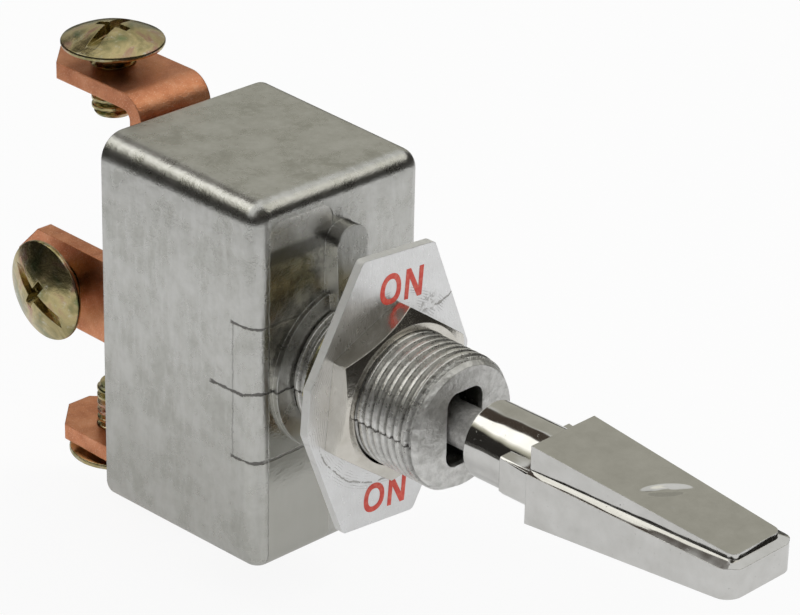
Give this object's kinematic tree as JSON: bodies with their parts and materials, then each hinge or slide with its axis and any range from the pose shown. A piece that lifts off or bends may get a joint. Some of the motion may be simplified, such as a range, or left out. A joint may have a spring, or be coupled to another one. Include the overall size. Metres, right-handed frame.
{
  "type": "panel toggle switch",
  "caption": "Heavy-duty panel toggle switch with a die-cast housing and threaded bushing, a chromed paddle lever, centre off, and screw terminals.",
  "frame": {"origin": "on the bushing axis, in the plane of the housing's front face", "axes": "-Y out along the bushing and the toggle, +Y back to the terminals, +Z along the housing's long side, towards the top terminal"},
  "size_m": [0.0218, 0.0862, 0.0459],
  "materials": {
    "cast_metal": "satin as-cast",
    "chrome_plate": "bright chrome plating",
    "spring_steel": "ground steel",
    "plunger_nylon": "natural nylon",
    "copper": "satin copper",
    "contact_silver": "silver alloy",
    "phenolic": "moulded phenolic",
    "fibre_sheet": "vulcanised fibre",
    "yellow_zinc": "yellow chromated zinc",
    "plate_metal": "fine satin with printed letters",
    "nickel": "nickel plating"
  },
  "bodies": {
    "switch_body": {"housing": "cast_metal", "centre_contact": "copper", "centre_rivet": "copper", "fixed_contact_top": "contact_silver", "fixed_contact_bottom": "contact_silver", "insulating_base": "phenolic", "insulating_liner": "fibre_sheet", "terminal_top": "copper", "terminal_middle": "copper", "terminal_bottom": "copper", "lock_washer": "yellow_zinc", "legend_plate": "plate_metal", "hex_nut": "nickel"},
    "lever": {"toggle_lever": "chrome_plate", "lever_pivot_pin": "spring_steel", "plunger_spring": "spring_steel"},
    "plunger": {"plunger": "plunger_nylon"},
    "rocker": {"rocker": "copper", "moving_contact_top": "contact_silver", "moving_contact_bottom": "contact_silver"},
    "top_screw": {"terminal_screw_top": "yellow_zinc"},
    "middle_screw": {"terminal_screw_middle": "yellow_zinc"},
    "bottom_screw": {"terminal_screw_bottom": "yellow_zinc"}
  },
  "joints": [
    {"name": "lever_swing", "type": "hinge", "parent": "switch_body", "child": "lever", "pos_m": [0, -0.0095, 0], "axis": [1, 0, 0], "range_deg": [-13, 13]},
    {"name": "plunger_slide", "type": "slide", "parent": "lever", "child": "plunger", "axis": [0, 1, 0], "range_m": [-0.001, 0], "stiffness_N_per_m": 400, "springref_m": 0.001, "deforming": ["plunger_spring"]},
    {"name": "rocker_tilt", "type": "hinge", "parent": "switch_body", "child": "rocker", "pos_m": [0, 0.00856, 0], "axis": [1, 0, 0], "range_deg": [-7.6, 7.6]},
    {"name": "top_screw_travel", "type": "slide", "parent": "switch_body", "child": "top_screw", "axis": [0, 0, 1], "range_m": [-0.0016, 0.002]},
    {"name": "middle_screw_travel", "type": "slide", "parent": "switch_body", "child": "middle_screw", "axis": [-1, 0, 0], "range_m": [-0.0019, 0.002]},
    {"name": "bottom_screw_travel", "type": "slide", "parent": "switch_body", "child": "bottom_screw", "axis": [0, 0, -1], "range_m": [-0.0005, 0.003]}
  ],
  "couplings": [
    {"joint": "rocker_tilt", "follows": "lever_swing", "ratio": -0.5842}
  ]
}
